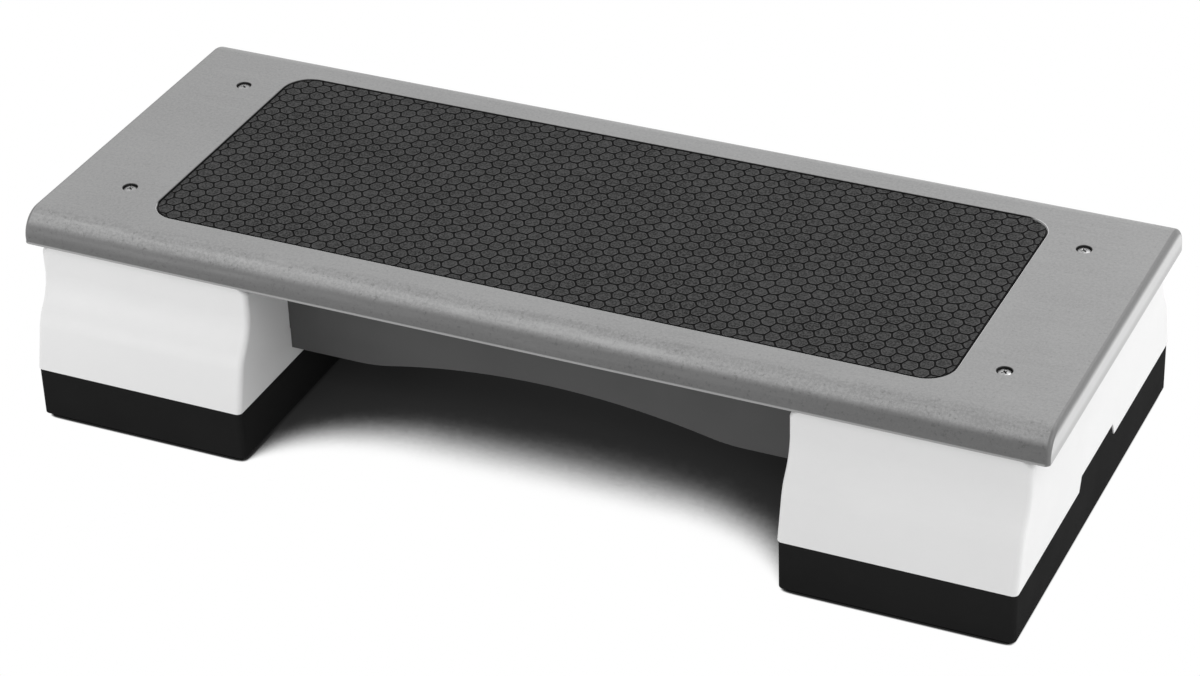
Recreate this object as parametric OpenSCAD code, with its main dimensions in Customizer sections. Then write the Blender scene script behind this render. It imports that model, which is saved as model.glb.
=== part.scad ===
// Aerobic step platform: a bullnosed deck with an inlaid tread mat stands on
// two hollow legs. Each leg plugs onto a riser block that pulls off downwards,
// so the step is high with the risers and low without them.
// X runs along the deck, Y towards the back, Z up. The origin is on the floor
// below the middle of the deck.

/* [Heights] */
// Height of the tread with the risers taken off
low_step_h = 150; // [144:1:170]
// Height that a riser adds
riser_lift = 50; // [40:1:60]

/* [Deck] */
// Length of the deck
deck_len = 980; // [940:1:1060]
// Depth of the deck from nose to nose
deck_depth = 376; // [366:1:390]
// Thickness of the deck from its top to the bottom of its lip
deck_thick = 30; // [28:1:34]
// Radius of the long bullnose edges
nose_r = 25; // [18:1:26]
// Radius of the upper edges at the two ends
deck_edge_r = 5; // [2:0.5:8]
// Wall of the deck's lip
deck_wall = 4; // [3:0.5:6]
// Skin left below the mat
deck_skin = 4; // [3:0.5:6]
// Thickness of the ribs under the deck
deck_rib_t = 2.5; // [2:0.5:4]
// Spacing of the ribs that run across the deck
deck_rib_pitch_x = 80; // [70:1:90]
// Spacing of the ribs that run along the deck
deck_rib_pitch_y = 70; // [60:1:80]
// Radius of the bead along the bottom of the lip
bead_r = 1.2; // [0.8:0.1:1.6]
// How far the bead stands out past the nose
bead_proud = 0.24; // [0.1:0.02:0.5]
// Gap between the lip and the leg, which shows as a dark line
lip_gap = 1.4; // [1:0.1:3]

/* [Mat] */
// Distance from the deck's end to the mat
mat_end_margin = 106; // [95:1:140]
// Distance from the deck's nose to the mat
mat_side_margin = 46; // [38:1:60]
// Radius of the mat's corners
mat_corner_r = 26; // [10:1:40]
// Thickness of the mat
mat_thick = 2.6; // [2:0.1:2.9]
// Depth of the recess that holds the mat
mat_recess = 3; // [3:0.1:4]
// Gap around the mat in its recess
mat_gap = 1.2; // [0.3:0.1:2]
// Height of the mat's raised tread field above its border
tread_h = 0.9; // [0.5:0.1:1.5]
// Width of the mat's low border
mat_border = 2.4; // [1:0.1:5]

/* [Leg] */
// Length of a leg along the deck
leg_len = 215; // [205:1:225]
// Distance from the deck's end to the leg's outer face
leg_inset = 14.6; // [8:0.1:20]
// Distance from the deck's nose to the leg's neck
neck_inset = 3; // [2:0.1:8]
// Height of the upright neck
neck_h = 25; // [15:1:30]
// Radius of the hollow below the neck
hollow_r = 55; // [45:1:60]
// Radius of the swell below the hollow
swell_r = 45; // [35:1:50]
// Steepest slope of the leg's face away from upright, in degrees
flare_angle = 38; // [30:1:42]
// Slope of the leg's lower face away from upright, in degrees
skirt_angle = 13.5; // [5:0.5:15]
// Wall of the leg
leg_wall = 4; // [3:0.5:5]
// Radius of the leg's upper end corners
leg_top_r = 8; // [4:1:12]
// Radius of the leg's upright corners
leg_corner_r = 7; // [4:1:10]
// Thickness of the ribs in the legs and risers
leg_rib_t = 3; // [2:0.5:4]
// Spacing of the two ribs that run across a leg
leg_rib_x = 68; // [60:1:80]
// Spacing of the ribs that run along a leg
leg_rib_y = 75; // [68:1:80]
// How far the leg's ribs end above its rim
rib_lift = 3; // [1:0.5:6]
// Distance from the leg's edges to the low pad that the deck rests on
pad_inset = 6; // [5:0.5:12]

/* [Rubber feet of the legs] */
// How far the rubber feet stand out below a leg
foot_drop = 3.2; // [2:0.1:5]
// Radius of a rubber foot's head
foot_r = 9; // [7:0.5:11]
// Radius of a rubber foot's stem
foot_stem_r = 3; // [2:0.5:4]
// Length of a rubber foot's stem
foot_stem_len = 9; // [6:1:12]
// Distance from the leg's rim to the middle of a foot
foot_inset = 13; // [12:0.5:18]
// How far the leg's square boss reaches past a foot
foot_boss_ring = 1; // [0.5:0.5:2]
// Depth of the leg's boss beyond a foot's stem
foot_boss_floor = 4; // [2:0.5:6]
// Spare depth of the hole beyond a foot's stem
foot_stem_spare = 1; // [0.5:0.5:2]
// Clearance around a foot in the riser's cup
foot_clear = 0.8; // [0.4:0.1:1.5]
// Clearance below a foot in the riser's cup
foot_cup_gap = 0.4; // [0.2:0.1:1]
// Wall of the riser's cup around a foot
foot_cup_wall = 2.5; // [2:0.5:4]

/* [Riser] */
// How far the riser's sides stand in from the leg's
riser_inset = 0.8; // [0.3:0.1:3]
// Wall of the riser
riser_wall = 3.5; // [3:0.5:5]
// Width of the flange that carries the sole
sole_flange_w = 14; // [10:1:20]
// Thickness of the rubber sole
sole_thick = 4.5; // [3:0.1:6]
// How far the sole stands in from the riser's sides
sole_inset = 5.5; // [3:0.1:8]
// Depth of the sole's tread grooves
groove_d = 1.5; // [1:0.1:2]
// Width of the sole's tread grooves
groove_w = 4; // [3:0.5:6]
// Spacing of the sole's tread grooves
groove_pitch = 24; // [16:1:30]

/* [Riser tab] */
// Width of the tab at its foot
tab_w = 98; // [80:1:120]
// Width of the tab at its top
tab_top_w = 86; // [60:1:110]
// Height of the tab
tab_h = 13; // [8:0.5:18]
// Thickness of the tab
tab_t = 6; // [4:0.5:10]
// Clearance around the tab in its notch
tab_clear = 0.6; // [0.4:0.1:1.5]

/* [Riser posts] */
// Radius of a locating post
post_r = 15; // [11:0.5:17]
// Height of a post above the riser
post_h = 22; // [14:1:30]
// Wall of a post
post_wall = 3; // [2:0.5:4]
// Height of the taper at a post's top
post_taper_h = 3; // [1:0.5:5]
// How far a post tapers in at its top
post_taper_w = 1.5; // [0.5:0.5:3]
// Clearance around a post in its socket
post_clear = 0.3; // [0.3:0.1:0.8]
// Spare depth of a socket above its post
socket_spare = 2; // [1:0.5:4]
// Wall of a socket
socket_wall = 3.5; // [3:0.5:5]

/* [Beams] */
// Distance from the deck's nose to a beam's outer face
beam_inset = 73.3; // [60:0.1:85]
// Height of the beams' lower edge above the leg's rim
beam_low = 15.4; // [12:0.1:24]
// Rise of the arch in the beam's lower edge
arch_rise = 20.2; // [12:0.1:28]
// Radius of the arch
arch_r = 750; // [600:10:900]
// Radius that blends the arch into the straight lower edge
arch_blend_r = 150; // [80:10:200]
// Thickness of a beam's face plate and flanges
beam_t = 4; // [3:0.5:5]
// Depth of a beam's lower flange and stiffeners
beam_depth = 18; // [14:1:24]
// Depth of a beam's top flange
beam_flange = 26; // [24:1:34]
// Thickness of a beam's stiffeners
stiffener_t = 3; // [2:0.5:4]
// Length of the tongue at each end of a beam
tongue_len = 11; // [8:1:16]
// Height of the tongue
tongue_h = 60; // [40:1:70]
// Clearance between a beam and the legs
beam_clear = 0.3; // [0.2:0.1:0.8]

/* [Braces] */
// Distance from an outer brace to the leg
brace_inset = 100; // [80:1:120]
// Thickness of a brace
brace_t = 4; // [3:0.5:6]
// Clearance of a brace in its grooves
brace_clear = 0.3; // [0.2:0.1:0.6]
// Radius of the holes in a brace
brace_hole_r = 18; // [10:1:22]
// Distance between the two holes in a brace
brace_hole_gap = 90; // [60:1:110]

/* [Deck screws] */
// Distance from the deck's end to a deck screw
screw_end_margin = 67; // [58:1:80]
// Distance from the deck's nose to a deck screw
screw_side_margin = 81.6; // [72:0.1:95]
// Radius of the pocket that sinks the screw head
pocket_r = 7.1; // [6.6:0.1:9]
// Depth of the pocket
pocket_d = 3.4; // [3:0.1:4.5]
// Radius of the screw head
head_r = 6.1; // [5:0.1:6.4]
// Height of the screw head
head_h = 2.6; // [2:0.1:3]
// Radius of the head's domed top
head_dome_r = 13.4; // [12:0.1:20]
// Length of the cross slots in the head
slot_len = 7.6; // [6:0.1:8.4]
// Width of the cross slots
slot_w = 1.7; // [1.2:0.1:2.2]
// Depth of the cross slots
slot_d = 1.6; // [1.2:0.1:1.8]
// Radius of the screw
screw_r = 3; // [2.5:0.1:3.5]
// Length of the screw below its head
screw_len = 42; // [38:1:46]
// Clearance around the screw
screw_clear = 0.3; // [0.2:0.1:0.6]
// Wall of the threaded insert
insert_wall = 1.7; // [1.2:0.1:2.5]
// Length of the threaded insert
insert_len = 15; // [10:1:20]
// Wall of the screw bosses
boss_wall = 4.2; // [3:0.1:6]
// Depth of the leg's boss beyond its screw
leg_boss_floor = 5; // [2:0.5:8]

/* [Beam screws] */
// Distance from an outer brace to the inner beam screw
beam_screw_gap = 30; // [24:1:34]
// Distance from the beam's end to the outer beam screw
beam_screw_end = 30; // [22:1:36]
// Radius of a beam screw
beam_screw_r = 2; // [1.5:0.1:2.5]
// Length of a beam screw below its head
beam_screw_len = 18; // [12:1:20]
// Radius of a beam screw's head
beam_head_r = 4; // [3.5:0.1:5]
// Height of a beam screw's head
beam_head_h = 2.4; // [2:0.1:3]
// Radius of the six-sided socket in the head
beam_key_r = 1.4; // [1.2:0.1:1.8]
// Depth of the six-sided socket
beam_key_d = 1.2; // [1:0.1:1.5]
// Wall of the deck's boss around a beam screw
beam_boss_wall = 3.7; // [2.5:0.1:4.5]
// Spare depth of the hole beyond a beam screw
beam_hole_spare = 1; // [0.5:0.1:2]

/* [Hidden] */
$fn = 64;

// Cuts run this far past the faces they open
over = 1;
// A threaded shank turns in its hole with this radial clearance
thread_clear = 0.05;
// Round corners inside a wall keep at least this radius
corner_min_r = 1;

// Heights of the main faces
step_h = low_step_h + riser_lift;
deck_low_z = step_h - deck_thick;
leg_top_z = deck_low_z - lip_gap;
seam_z = riser_lift + foot_drop;
mat_floor_z = step_h - mat_recess;
deck_ceiling_z = mat_floor_z - deck_skin;

// The mat
mat_len = deck_len - 2 * mat_end_margin;
mat_depth = deck_depth - 2 * mat_side_margin;

// Places of a leg along the deck
leg_out_x = deck_len / 2 - leg_inset;
leg_in_x = leg_out_x - leg_len;
leg_mid_x = (leg_out_x + leg_in_x) / 2;

// The leg's face is an upright neck, a hollow arc, a swell arc and a skirt
neck_y = deck_depth / 2 - neck_inset;
neck_low_z = leg_top_z - neck_h;
hollow_c = [neck_y + hollow_r, neck_low_z];
flare_dir = [cos(flare_angle), sin(flare_angle)];
skirt_dir = [cos(skirt_angle), sin(skirt_angle)];
swell_c = hollow_c - (hollow_r + swell_r) * flare_dir;
skirt_top = swell_c + swell_r * skirt_dir;
rim_y = skirt_top[0] + tan(skirt_angle) * (skirt_top[1] - seam_z);

// Rubber feet sit near the corners of a leg's rim
foot_dx = leg_len / 2 - foot_inset;
foot_y = rim_y - foot_inset;

// Ribs of a leg and of a riser stand in the same places, and a leg has two more that hold its feet
rib_xs = [leg_mid_x - leg_rib_x / 2, leg_mid_x + leg_rib_x / 2];
rib_ys = [for (i = [-2 : 2]) i * leg_rib_y];
leg_rib_ys = concat(rib_ys, [-foot_y, foot_y]);

// The riser
riser_half_y = rim_y - riser_inset;
riser_in_x = leg_in_x + riser_inset;
riser_out_x = leg_out_x - riser_inset;
riser_plate_low_z = seam_z - riser_wall;

// Deck screws
screw_x = deck_len / 2 - screw_end_margin;
screw_y = deck_depth / 2 - screw_side_margin;
screw_seat_z = step_h - pocket_d;
insert_r = screw_r + thread_clear + insert_wall;
deck_boss_r = screw_r + screw_clear + boss_wall;
leg_boss_r = insert_r + boss_wall;
screw_tip_z = screw_seat_z - screw_len;
leg_boss_low_z = min(deck_low_z - insert_len, screw_tip_z) - leg_boss_floor;

// Beams
beam_low_z = seam_z + beam_low;
beam_face_y = deck_depth / 2 - beam_inset;
arch_c = [0, beam_low_z + arch_rise - arch_r];
blend_c_z = beam_low_z + arch_blend_r;
blend_x = sqrt(pow(arch_r + arch_blend_r, 2) - pow(blend_c_z - arch_c[1], 2));
blend_top = arch_c + arch_r / (arch_r + arch_blend_r) * ([blend_x, blend_c_z] - arch_c);
beam_half = leg_in_x - beam_clear;
brace_x = leg_in_x - brace_inset;
brace_xs = [-brace_x, 0, brace_x];
beam_screw_xs = [brace_x - beam_screw_gap, beam_half - beam_screw_end];
flange_mid_y = beam_face_y - beam_flange / 2;
tongue_low_z = beam_low_z + (deck_low_z - beam_low_z - tongue_h) / 2;
beam_boss_r = beam_screw_r + beam_boss_wall;

// Height of the beam's lower edge at a place along it
function arch_z(x) = abs(x) >= blend_x ? beam_low_z
    : abs(x) >= blend_top[0] ? blend_c_z - sqrt(pow(arch_blend_r, 2) - pow(abs(x) - blend_x, 2))
    : arch_c[1] + sqrt(pow(arch_r, 2) - x * x);

// Rectangle with round corners, centred
module round_rect(l, w, r) {
    square([l - 2 * r, w], center = true);
    square([l, w - 2 * r], center = true);
    for (x = [-1, 1], y = [-1, 1])
        translate([x * (l / 2 - r), y * (w / 2 - r)])
            circle(r);
}

// Turns a drawing of Y and Z into a bar along X between two places
module along_x(x0, x1) {
    translate([x0, 0, 0])
        rotate([90, 0, 90])
            linear_extrude(x1 - x0)
                children();
}

// Turns a drawing of X and Z into a bar along Y between two places
module along_y(y0, y1) {
    translate([0, y1, 0])
        rotate([90, 0, 0])
            linear_extrude(y1 - y0)
                children();
}

// Both ends: the child as drawn at the right and turned about Z at the left
module both_ends() {
    children();
    rotate([0, 0, 180]) children();
}

// Section of the deck, drawn in from its outside by a wall
module deck_section(wall, low_z, high_z) {
    half = deck_depth / 2 - wall;
    r = nose_r - wall;
    c_z = step_h - nose_r;
    intersection() {
        union() {
            translate([-half, low_z]) square([2 * half, c_z - low_z]);
            translate([-half + r, low_z]) square([2 * (half - r), high_z - low_z]);
            for (s = [-1, 1])
                translate([s * (half - r), c_z])
                    circle(r);
        }
        translate([-half, low_z]) square([2 * half, high_z - low_z]);
    }
}

// Outside of the deck with its beads and its rounded ends
module deck_outside() {
    half_x = deck_len / 2;
    half_y = deck_depth / 2;
    intersection() {
        along_x(-half_x, half_x) {
            deck_section(0, deck_low_z, step_h);
            for (s = [-1, 1])
                translate([s * (half_y + bead_proud - bead_r), deck_low_z + bead_r])
                    circle(bead_r);
        }
        along_y(-half_y - over, half_y + over) {
            translate([-half_x, deck_low_z - over])
                square([deck_len, deck_thick + over - deck_edge_r]);
            translate([-half_x + deck_edge_r, deck_low_z])
                square([deck_len - 2 * deck_edge_r, deck_thick]);
            for (s = [-1, 1])
                translate([s * (half_x - deck_edge_r), step_h - deck_edge_r])
                    circle(deck_edge_r);
        }
        translate([0, 0, deck_low_z - over])
            linear_extrude(deck_thick + 2 * over)
                round_rect(deck_len, deck_depth + 2 * bead_proud, deck_edge_r);
    }
}

// Inside of the deck, drawn in from its outside by a wall, between two heights
module deck_inside(wall, low_z, high_z) {
    along_x(-deck_len / 2 + wall, deck_len / 2 - wall)
        deck_section(wall, low_z, high_z);
}

// Ribs and bosses under the deck
module deck_ribs() {
    n_x = floor((deck_len / 2 - 2 * deck_wall) / deck_rib_pitch_x - 0.5);
    n_y = floor((deck_depth / 2 - 4 * deck_wall) / deck_rib_pitch_y);
    rib_h = mat_floor_z - deck_low_z;
    translate([0, 0, deck_low_z]) {
        for (i = [0 : n_x], s = [-1, 1])
            translate([s * (i + 0.5) * deck_rib_pitch_x - deck_rib_t / 2, -deck_depth / 2, 0])
                cube([deck_rib_t, deck_depth, rib_h]);
        for (i = [-n_y : n_y])
            translate([-deck_len / 2, i * deck_rib_pitch_y - deck_rib_t / 2, 0])
                cube([deck_len, deck_rib_t, rib_h]);
        at_deck_screws() cylinder(h = rib_h, r = deck_boss_r);
        both_ends() at_beam_screws() cylinder(h = rib_h, r = beam_boss_r);
    }
}

module at_deck_screws() {
    for (x = [-1, 1], y = [-1, 1])
        translate([x * screw_x, y * screw_y, 0])
            children();
}

// Screw places of the front beam
module at_beam_screws() {
    for (x = beam_screw_xs, s = [-1, 1])
        translate([s * x, -flange_mid_y, 0])
            children();
}

module deck() {
    color("#9c9c9c")
    difference() {
        union() {
            difference() {
                deck_outside();
                deck_inside(deck_wall, deck_low_z - over, deck_ceiling_z);
            }
            intersection() {
                deck_inside(deck_wall / 2, deck_low_z, deck_ceiling_z + deck_skin / 2);
                deck_ribs();
            }
        }
        translate([0, 0, mat_floor_z])
            linear_extrude(mat_recess + over)
                round_rect(mat_len + 2 * mat_gap, mat_depth + 2 * mat_gap, mat_corner_r + mat_gap);
        at_deck_screws() {
            translate([0, 0, screw_seat_z]) cylinder(h = pocket_d + over, r = pocket_r);
            translate([0, 0, deck_low_z - over])
                cylinder(h = deck_thick, r = screw_r + screw_clear);
        }
        both_ends() at_beam_screws()
            translate([0, 0, deck_low_z - over])
                cylinder(h = over + beam_screw_len - beam_t + beam_hole_spare,
                    r = beam_screw_r + thread_clear);
    }
}

module mat() {
    color("#2b2b2b")
    translate([0, 0, mat_floor_z]) {
        linear_extrude(mat_thick - tread_h)
            round_rect(mat_len, mat_depth, mat_corner_r);
        linear_extrude(mat_thick)
            round_rect(mat_len - 2 * mat_border, mat_depth - 2 * mat_border, mat_corner_r - mat_border);
    }
}

// Low domed head with a cross slot, and its shank
module deck_screws() {
    color("#b8b8b8")
    at_deck_screws() translate([0, 0, screw_seat_z]) {
        difference() {
            intersection() {
                cylinder(h = head_h, r = head_r);
                translate([0, 0, head_h - head_dome_r]) sphere(head_dome_r);
            }
            for (a = [45, 135])
                rotate([0, 0, a])
                    translate([-slot_len / 2, -slot_w / 2, head_h - slot_d])
                        cube([slot_len, slot_w, slot_d + over]);
        }
        translate([0, 0, -screw_len]) cylinder(h = screw_len, r = screw_r);
    }
}

module threaded_inserts() {
    color("#c9a227")
    at_deck_screws() translate([0, 0, deck_low_z - insert_len])
        difference() {
            cylinder(h = insert_len, r = insert_r);
            translate([0, 0, -over]) cylinder(h = insert_len + 2 * over, r = screw_r + thread_clear);
        }
}

// Half of the leg's face in Y and Z, drawn in from its outside by a wall
module leg_half_section(wall, low_z, high_z) {
    swell = swell_c + (swell_r - wall) * flare_dir;
    skirt = swell_c + (swell_r - wall) * skirt_dir;
    low_y = skirt[0] + tan(skirt_angle) * (skirt[1] - low_z);
    intersection() {
        difference() {
            union() {
                polygon([[-over, low_z], [low_y, low_z], skirt, swell,
                    [neck_y - wall, neck_low_z], [neck_y - wall, high_z], [-over, high_z]]);
                translate(swell_c) circle(swell_r - wall);
            }
            translate(hollow_c) circle(hollow_r + wall);
        }
        translate([-over, low_z]) square([low_y + 2 * over, high_z - low_z]);
    }
}

module leg_section(wall, low_z, high_z) {
    leg_half_section(wall, low_z, high_z);
    mirror([1, 0]) leg_half_section(wall, low_z, high_z);
}

// Form of the right leg, drawn in from its outside by a wall
module leg_form(wall, low_z) {
    len = leg_len - 2 * wall;
    high_z = leg_top_z - wall;
    intersection() {
        along_x(leg_mid_x - len / 2, leg_mid_x + len / 2) leg_section(wall, low_z, high_z);
        along_y(-rim_y, rim_y)
            translate([leg_mid_x, high_z - len / 2])
                round_rect(len, len, max(leg_top_r - wall, corner_min_r));
        translate([leg_mid_x, 0, low_z])
            linear_extrude(high_z - low_z)
                round_rect(len, 2 * (rim_y - wall), max(leg_corner_r - wall, corner_min_r));
    }
}

// Low pad that the deck's ribs rest on
module leg_pad() {
    translate([leg_mid_x, 0, leg_top_z - leg_wall / 2])
        linear_extrude(leg_wall / 2 + lip_gap)
            square([leg_len - 2 * pad_inset, 2 * (neck_y - pad_inset)], center = true);
}

// The child at each post of the right riser, where the outer ribs cross
module at_posts() {
    for (x = rib_xs, y = [rib_ys[0], rib_ys[4]])
        translate([x, y, seam_z])
            children();
}

// The child at each rubber foot of the right leg
module at_feet() {
    for (x = [-1, 1], y = [-1, 1])
        translate([leg_mid_x + x * foot_dx, y * foot_y, seam_z])
            children();
}

// The child at each deck screw of the right leg, at the height of the deck's ribs
module at_leg_screws() {
    for (y = [-1, 1])
        translate([screw_x, y * screw_y, deck_low_z])
            children();
}

// Ribs that cross a leg or a riser between two heights
module cell_ribs(low_z, high_z, ys) {
    for (x = rib_xs)
        translate([x - leg_rib_t / 2, -rim_y, low_z])
            cube([leg_rib_t, 2 * rim_y, high_z - low_z]);
    for (y = ys)
        translate([leg_in_x, y - leg_rib_t / 2, low_z])
            cube([leg_len, leg_rib_t, high_z - low_z]);
}

// Outline of the tab in Y and Z, grown by a clearance
module tab_outline(grow) {
    translate([0, seam_z])
        polygon([[-tab_w / 2 - grow, -over], [tab_w / 2 + grow, -over], [tab_w / 2 + grow, 0],
            [tab_top_w / 2 + grow, tab_h + grow], [-tab_top_w / 2 - grow, tab_h + grow],
            [-tab_w / 2 - grow, 0]]);
}

// The right leg
module leg() {
    socket_r = post_r + post_clear;
    socket_h = post_h + socket_spare;
    stem_hole_h = foot_stem_len + foot_stem_spare;
    foot_boss_w = 2 * (foot_r + foot_boss_ring);
    difference() {
        union() {
            difference() {
                leg_form(0, seam_z);
                leg_form(leg_wall, seam_z - over);
            }
            leg_pad();
            intersection() {
                leg_form(leg_wall / 2, seam_z);
                union() {
                    cell_ribs(seam_z + rib_lift, leg_top_z, leg_rib_ys);
                    at_posts() translate([0, 0, rib_lift])
                        cylinder(h = socket_h, r = socket_r + socket_wall);
                    at_feet() linear_extrude(stem_hole_h + foot_boss_floor)
                        square(foot_boss_w, center = true);
                    translate([0, 0, leg_boss_low_z - deck_low_z])
                        at_leg_screws() cylinder(h = leg_top_z - leg_boss_low_z, r = leg_boss_r);
                }
            }
        }
        at_posts() translate([0, 0, -over]) cylinder(h = socket_h + over, r = socket_r);
        at_feet() translate([0, 0, -over]) cylinder(h = stem_hole_h + over, r = foot_stem_r);
        at_leg_screws() {
            translate([0, 0, -insert_len]) cylinder(h = insert_len + over, r = insert_r);
            translate([0, 0, leg_boss_low_z - deck_low_z - over])
                cylinder(h = deck_low_z - leg_boss_low_z, r = screw_r + screw_clear);
        }
        along_x(leg_out_x - 2 * tab_t, leg_out_x + over) tab_outline(tab_clear);
        for (s = [-1, 1])
            translate([leg_in_x - over, s * (beam_face_y - beam_t / 2) - beam_t / 2 - beam_clear,
                tongue_low_z - beam_clear])
                cube([leg_wall + 2 * over, beam_t + 2 * beam_clear, tongue_h + 2 * beam_clear]);
    }
}

module right_leg() {
    color("#ececec") leg();
}

module left_leg() {
    color("#ececec") rotate([0, 0, 180]) leg();
}

// Four rubber buttons pushed into the rim of the right leg
module leg_feet() {
    at_feet() {
        translate([0, 0, -foot_drop]) cylinder(h = foot_drop, r = foot_r);
        cylinder(h = foot_stem_len, r = foot_stem_r);
    }
}

module right_leg_feet() {
    color("#202020") leg_feet();
}

module left_leg_feet() {
    color("#202020") rotate([0, 0, 180]) leg_feet();
}

// Face of a beam in X and Z: a straight bar with an arch in its lower edge
module beam_outline(half) {
    difference() {
        translate([-half, beam_low_z]) square([2 * half, deck_low_z - beam_low_z]);
        translate(arch_c) circle(arch_r, $fn = 360);
        for (s = [0, 1]) mirror([s, 0])
            difference() {
                polygon([blend_top, [blend_x, beam_low_z], [blend_x, beam_low_z - over],
                    [blend_top[0], beam_low_z - over]]);
                translate([blend_x, blend_c_z]) circle(arch_blend_r, $fn = 360);
            }
    }
}

// The front beam: face plate, flanges, stiffeners and end tongues
module beam() {
    front_y = -beam_face_y;
    groove_half = brace_t / 2 + brace_clear;
    plain_xs = [for (s = [-1, 1], x = [brace_x / 2, (brace_x + beam_half) / 2]) s * x];
    pair_xs = [for (x = brace_xs, s = [-1, 1]) x + s * (groove_half + stiffener_t / 2)];
    end_xs = [for (s = [-1, 1]) s * (beam_half - stiffener_t / 2)];
    difference() {
        union() {
            along_y(front_y, front_y + beam_t) beam_outline(beam_half);
            along_y(front_y, front_y + beam_depth)
                difference() {
                    beam_outline(beam_half);
                    translate([0, beam_t]) beam_outline(beam_half + over);
                }
            translate([-beam_half, front_y, deck_low_z - beam_t])
                cube([2 * beam_half, beam_flange, beam_t]);
            intersection() {
                along_y(front_y + beam_t / 2, front_y + beam_depth)
                    translate([0, beam_t / 2]) beam_outline(beam_half);
                for (x = concat(plain_xs, pair_xs, end_xs))
                    translate([x - stiffener_t / 2, front_y, beam_low_z])
                        cube([stiffener_t, beam_depth, deck_low_z - beam_t / 2 - beam_low_z]);
            }
            translate([-beam_half - tongue_len, front_y, tongue_low_z])
                cube([2 * (beam_half + tongue_len), beam_t, tongue_h]);
        }
        at_beam_screws() translate([0, 0, deck_low_z - beam_t - over])
            cylinder(h = beam_t + 2 * over, r = beam_screw_r + screw_clear);
    }
}

module front_beam() {
    color("#4a4a4a") beam();
}

module rear_beam() {
    color("#4a4a4a") rotate([0, 0, 180]) beam();
}

// Screws that draw the front beam up against the deck
module beam_screws() {
    at_beam_screws() translate([0, 0, deck_low_z - beam_t]) {
        translate([0, 0, -beam_head_h])
            difference() {
                cylinder(h = beam_head_h, r = beam_head_r);
                translate([0, 0, -over]) cylinder(h = over + beam_key_d, r = beam_key_r, $fn = 6);
            }
        cylinder(h = beam_screw_len, r = beam_screw_r);
    }
}

module front_beam_screws() {
    color("#b8b8b8") beam_screws();
}

module rear_beam_screws() {
    color("#b8b8b8") rotate([0, 0, 180]) beam_screws();
}

// Plate between the beams, held in their grooves and standing on their lower flanges
module brace(x) {
    half = beam_face_y - beam_t - beam_clear;
    low_z = max(arch_z(x - brace_t / 2), arch_z(x + brace_t / 2)) + beam_t;
    high_z = deck_low_z - beam_t;
    color("#4a4a4a")
    difference() {
        translate([x - brace_t / 2, -half, low_z]) cube([brace_t, 2 * half, high_z - low_z]);
        for (s = [-1, 1])
            translate([x - brace_t / 2 - over, s * brace_hole_gap / 2, (low_z + high_z) / 2])
                rotate([0, 90, 0]) cylinder(h = brace_t + 2 * over, r = brace_hole_r);
    }
}

module left_brace() {
    brace(brace_xs[0]);
}

module middle_brace() {
    brace(brace_xs[1]);
}

module right_brace() {
    brace(brace_xs[2]);
}

// Plan of the riser, drawn in from its outside by a wall
module riser_plan(wall) {
    translate([leg_mid_x, 0])
        round_rect(riser_out_x - riser_in_x - 2 * wall, 2 * (riser_half_y - wall),
            max(leg_corner_r - wall, corner_min_r));
}

// The right riser: a hollow block with locating posts and a tab on its outer side
module riser() {
    cup_r = foot_r + foot_clear;
    cup_h = foot_drop + foot_cup_gap;
    difference() {
        union() {
            difference() {
                translate([0, 0, sole_thick]) linear_extrude(seam_z - sole_thick) riser_plan(0);
                translate([0, 0, sole_thick + riser_wall])
                    linear_extrude(riser_plate_low_z - sole_thick - riser_wall)
                        riser_plan(riser_wall);
                translate([0, 0, sole_thick - over])
                    linear_extrude(riser_wall + 2 * over)
                        riser_plan(sole_flange_w);
            }
            intersection() {
                translate([0, 0, sole_thick])
                    linear_extrude(seam_z - sole_thick)
                        riser_plan(riser_wall / 2);
                union() {
                    cell_ribs(sole_thick, seam_z, rib_ys);
                    at_feet() translate([0, 0, -cup_h - foot_cup_wall])
                        cylinder(h = cup_h + foot_cup_wall, r = cup_r + foot_cup_wall);
                }
            }
            at_posts() {
                cylinder(h = post_h - post_taper_h, r = post_r);
                translate([0, 0, post_h - post_taper_h])
                    cylinder(h = post_taper_h, r1 = post_r, r2 = post_r - post_taper_w);
            }
            along_x(riser_out_x - tab_t, riser_out_x) tab_outline(0);
        }
        at_posts() translate([0, 0, -riser_wall - over])
            cylinder(h = post_h + riser_wall + 2 * over, r = post_r - post_wall);
        at_feet() translate([0, 0, -cup_h]) cylinder(h = cup_h + over, r = cup_r);
    }
}

module right_riser() {
    color("#262626") riser();
}

module left_riser() {
    color("#262626") rotate([0, 0, 180]) riser();
}

// Rubber sheet under the right riser, with tread grooves across it
module sole() {
    n = floor((riser_half_y - sole_inset) / groove_pitch - 0.5);
    difference() {
        linear_extrude(sole_thick) riser_plan(sole_inset);
        for (i = [-n : n])
            translate([riser_in_x, i * groove_pitch - groove_w / 2, -over])
                cube([leg_len, groove_w, groove_d + over]);
    }
}

module right_sole() {
    color("#1a1a1a") sole();
}

module left_sole() {
    color("#1a1a1a") rotate([0, 0, 180]) sole();
}

deck();
mat();
deck_screws();
threaded_inserts();
left_leg();
right_leg();
left_leg_feet();
right_leg_feet();
front_beam();
rear_beam();
front_beam_screws();
rear_beam_screws();
left_brace();
middle_brace();
right_brace();
left_riser();
right_riser();
left_sole();
right_sole();
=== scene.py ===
import math
import random

import bmesh
import bpy
from mathutils import Matrix, Vector


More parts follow.
